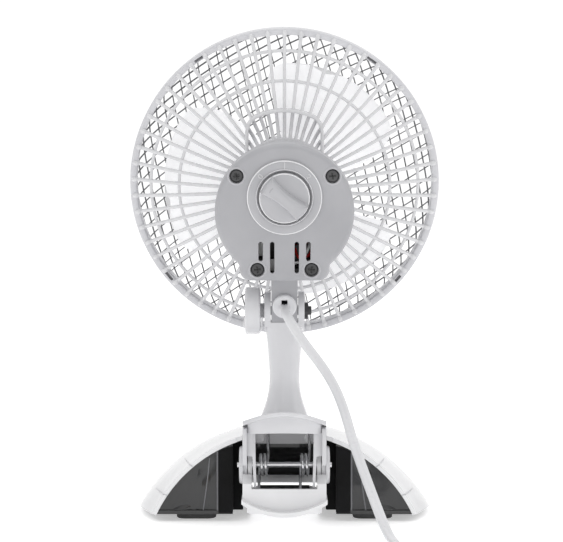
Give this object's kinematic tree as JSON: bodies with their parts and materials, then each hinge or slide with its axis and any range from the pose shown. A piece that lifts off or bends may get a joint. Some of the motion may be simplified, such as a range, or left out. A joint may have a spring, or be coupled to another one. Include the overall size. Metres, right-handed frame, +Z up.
{
  "type": "desk fan",
  "caption": "Small clip-on desk fan: caged blades on a tilting head with a rear speed knob, over an arched base with a sprung clip.",
  "frame": {"origin": "centre of the object's footprint on the desk, without its cord", "axes": "+Z up, the fan blows towards -Y, the speed knob faces +Y"},
  "size_m": [0.18, 0.3256, 0.2763],
  "materials": {
    "white_shell": "glossy moulded white",
    "guard_white": "semi-gloss moulded white",
    "net_grey": "semi-gloss moulded grey",
    "housing_grey": "fine satin light grey",
    "knob_white": "satin white",
    "blade_clear": "translucent moulded white",
    "base_black": "glossy black",
    "foot_rubber": "matt black rubber",
    "spring_chrome": "bright plated wire",
    "screw_dark": "dark zinc",
    "steel": "plain steel",
    "lamination": "stacked sheet steel",
    "winding": "enamelled copper wire",
    "bush": "sintered bronze",
    "bobbin": "natural nylon",
    "switch_black": "moulded black",
    "wire_red": "red insulation",
    "wire_black": "black insulation",
    "cord_white": "soft white vinyl",
    "brass_pin": "plated brass"
  },
  "bodies": {
    "base": {"base_shell": "white_shell", "base_inner": "base_black", "upper_handle": "white_shell", "clip_pin": "spring_chrome", "pivot_caps": "white_shell", "clip_springs": "spring_chrome", "rubber_feet": "foot_rubber", "neck": "white_shell", "neck_screws": "steel", "handle_screws": "steel", "tilt_nut": "screw_dark", "power_cord": "cord_white", "cord_coil": "cord_white", "plug_body": "cord_white", "plug_pins": "brass_pin"},
    "jaw": {"lower_jaw": "white_shell", "jaw_pad": "foot_rubber"},
    "head": {"rear_guard": "guard_white", "front_guard": "net_grey", "guard_badge": "guard_white", "motor_housing": "housing_grey", "rear_cover": "housing_grey", "cover_screws": "screw_dark", "rotary_switch": "switch_black", "wire_connector": "bobbin", "lead_red": "wire_red", "lead_black": "wire_black", "guard_screws": "steel", "cord_bushing": "knob_white", "stator_core": "lamination", "coil_bobbin": "bobbin", "stator_coil": "winding", "front_bracket": "steel", "rear_bracket": "steel", "front_bush": "bush", "rear_bush": "bush", "motor_screws": "steel"},
    "rotor": {"fan_blade": "blade_clear", "blade_nut": "knob_white", "motor_shaft": "steel", "rotor_core": "lamination"},
    "speed_dial": {"speed_knob": "knob_white"},
    "clamp_knob": {"tilt_knob": "knob_white", "tilt_bolt": "screw_dark"}
  },
  "joints": [
    {"name": "head_tilt", "type": "hinge", "parent": "base", "child": "head", "pos_m": [0, 0.00698, 0.1135], "axis": [-1, 0, 0], "range_deg": [-35, 15], "deforming": ["power_cord"]},
    {"name": "fan_spin", "type": "hinge", "parent": "head", "child": "rotor", "pos_m": [0, -0.03208, 0.18651], "axis": [0, -0.9877, 0.1564], "continuous": true},
    {"name": "speed_turn", "type": "hinge", "parent": "head", "child": "speed_dial", "pos_m": [0, 0.04156, 0.17839], "axis": [0, -0.9877, 0.1564], "range_deg": [0, 104]},
    {"name": "clamp_turn", "type": "hinge", "parent": "base", "child": "clamp_knob", "pos_m": [0.018, 0.00698, 0.1135], "axis": [1, 0, 0], "range_deg": [0, 270]},
    {"name": "jaw_open", "type": "hinge", "parent": "base", "child": "jaw", "pos_m": [0, 0.04698, 0.0312], "axis": [1, 0, 0], "range_deg": [0, 22], "stiffness_Nm_per_rad": 1.5, "springref_deg": -34.38, "deforming": ["clip_springs"]}
  ]
}
